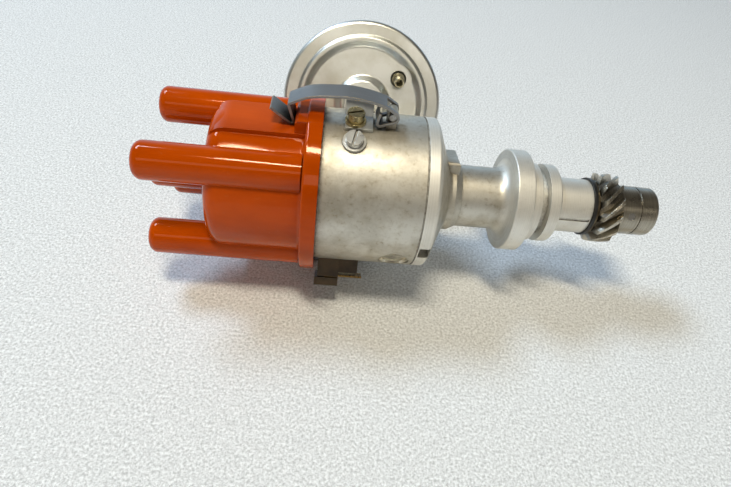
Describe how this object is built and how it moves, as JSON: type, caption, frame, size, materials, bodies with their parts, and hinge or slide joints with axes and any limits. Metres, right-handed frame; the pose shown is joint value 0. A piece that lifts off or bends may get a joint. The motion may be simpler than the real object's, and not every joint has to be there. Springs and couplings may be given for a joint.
{
  "type": "ignition distributor",
  "caption": "Ignition distributor with a towered cap held by spring clips, a vacuum advance unit, a centrifugal advance, and a shaft driven by a helical gear.",
  "frame": {"origin": "on the shaft axis, in the plane where the collar seats on the engine block", "axes": "+X along the drive shaft from the cap to the drive gear; +Z through the upper cap clip; +Y to the vacuum unit's side"},
  "size_m": [0.2247, 0.1289, 0.0928],
  "materials": {
    "cap_resin": "gloss",
    "cast_aluminium": "satin, turned and cast",
    "plug_steel": "satin",
    "bronze": "matte, oil-filled",
    "brass": "satin",
    "spring_steel": "satin",
    "plate_steel": "zinc plated",
    "dark_resin": "matte",
    "white_zinc": "bright zinc plated",
    "yellow_zinc": "yellow zinc plated",
    "bracket_zinc": "bright zinc plated",
    "can_zinc": "dull zinc plated",
    "diaphragm_rubber": "matte",
    "nipple_steel": "satin",
    "pin_steel": "satin",
    "shaft_steel": "ground",
    "black_fibre": "matte",
    "gear_steel": "ground, oiled",
    "magnet": "matte",
    "coil_resin": "matte",
    "rod_steel": "satin",
    "weight_steel": "sintered",
    "clip_steel": "phosphated, oiled",
    "carbon": "matte"
  },
  "bodies": {
    "housing_and_cap": {"housing": "cast_aluminium", "barrel_plug": "plug_steel", "upper_bush": "bronze", "lower_bush": "bronze", "distributor_cap": "cap_resin", "cap_terminal_1": "brass", "cap_terminal_2": "brass", "cap_terminal_3": "brass", "cap_terminal_4": "brass", "centre_terminal": "brass", "brush_spring": "spring_steel", "plate_carrier": "plate_steel", "plate_retainer": "plate_steel", "dust_cover": "dark_resin", "plate_screw_front": "white_zinc", "plate_screw_back": "white_zinc", "plate_washer_front": "white_zinc", "plate_washer_back": "white_zinc", "bracket_screw": "yellow_zinc", "bracket_washer": "yellow_zinc", "lock_washer": "yellow_zinc", "vacuum_bracket": "bracket_zinc", "can_front": "can_zinc", "can_back": "can_zinc", "diaphragm": "diaphragm_rubber", "return_spring": "spring_steel", "hose_nipple": "nipple_steel", "upper_clip_pin": "pin_steel", "lower_clip_pin": "pin_steel", "terminal_block": "dark_resin", "terminal_blade": "brass"},
    "drive_line": {"drive_shaft": "shaft_steel", "thrust_washer": "bronze", "fibre_washer": "black_fibre", "brass_washer": "brass", "drive_gear": "gear_steel", "cross_pin": "pin_steel", "weight_carrier": "plate_steel", "advance_spring_a": "spring_steel", "advance_spring_b": "spring_steel"},
    "cam": {"cam_sleeve": "shaft_steel", "trigger_wheel": "plate_steel", "rotor_arm": "cap_resin", "rotor_contact": "brass"},
    "weight_a": {"advance_weight_a": "weight_steel"},
    "weight_b": {"advance_weight_b": "weight_steel"},
    "pickup": {"moving_plate": "plate_steel", "pull_pin": "pin_steel", "pickup_magnet": "magnet", "pickup_coil": "coil_resin", "pickup_stator": "plate_steel"},
    "pull": {"pull_rod": "rod_steel", "diaphragm_washer": "plate_steel", "diaphragm_piston": "plate_steel"},
    "upper_clip": {"upper_clip": "clip_steel"},
    "lower_clip": {"lower_clip": "clip_steel"},
    "brush": {"carbon_brush": "carbon"}
  },
  "joints": [
    {"name": "drive_spin", "type": "hinge", "parent": "housing_and_cap", "child": "drive_line", "pos_m": [0, 0, 0], "axis": [1, 0, 0], "continuous": true},
    {"name": "centrifugal_advance", "type": "hinge", "parent": "drive_line", "child": "cam", "pos_m": [0, 0, 0], "axis": [1, 0, 0], "range_deg": [0, 12], "stiffness_Nm_per_rad": 0.4, "springref_deg": -8.59},
    {"name": "weight_a_swing", "type": "hinge", "parent": "drive_line", "child": "weight_a", "pos_m": [0, 0.019, 0], "axis": [1, 0, 0], "range_deg": [-13.9, 0], "deforming": ["advance_spring_b"]},
    {"name": "weight_b_swing", "type": "hinge", "parent": "drive_line", "child": "weight_b", "pos_m": [0, -0.019, 0], "axis": [1, 0, 0], "range_deg": [-13.9, 0], "deforming": ["advance_spring_a"]},
    {"name": "pickup_turn", "type": "hinge", "parent": "housing_and_cap", "child": "pickup", "pos_m": [0, 0, 0], "axis": [1, 0, 0], "range_deg": [-8, 0], "stiffness_Nm_per_rad": 1.2, "springref_deg": 6.88},
    {"name": "vacuum_pull", "type": "slide", "parent": "housing_and_cap", "child": "pull", "axis": [0, -0.8572, 0.515], "range_m": [-0.00505, 0], "deforming": ["diaphragm", "return_spring"]},
    {"name": "upper_clip_swing", "type": "hinge", "parent": "housing_and_cap", "child": "upper_clip", "pos_m": [-0.0631, 0, 0.0389], "axis": [0, 1, 0], "range_deg": [0, 100]},
    {"name": "lower_clip_swing", "type": "hinge", "parent": "housing_and_cap", "child": "lower_clip", "pos_m": [-0.0631, 0, -0.0389], "axis": [0, -1, 0], "range_deg": [0, 100]},
    {"name": "brush_slide", "type": "slide", "parent": "housing_and_cap", "child": "brush", "axis": [-1, 0, 0], "range_m": [0, 0.002], "stiffness_N_per_m": 200, "springref_m": -0.003, "deforming": ["brush_spring"]}
  ],
  "couplings": [
    {"joint": "weight_a_swing", "follows": "centrifugal_advance", "ratio": -1.15},
    {"joint": "weight_b_swing", "follows": "centrifugal_advance", "ratio": -1.15},
    {"joint": "vacuum_pull", "follows": "pickup_turn", "m_per_rad": 0.036}
  ]
}
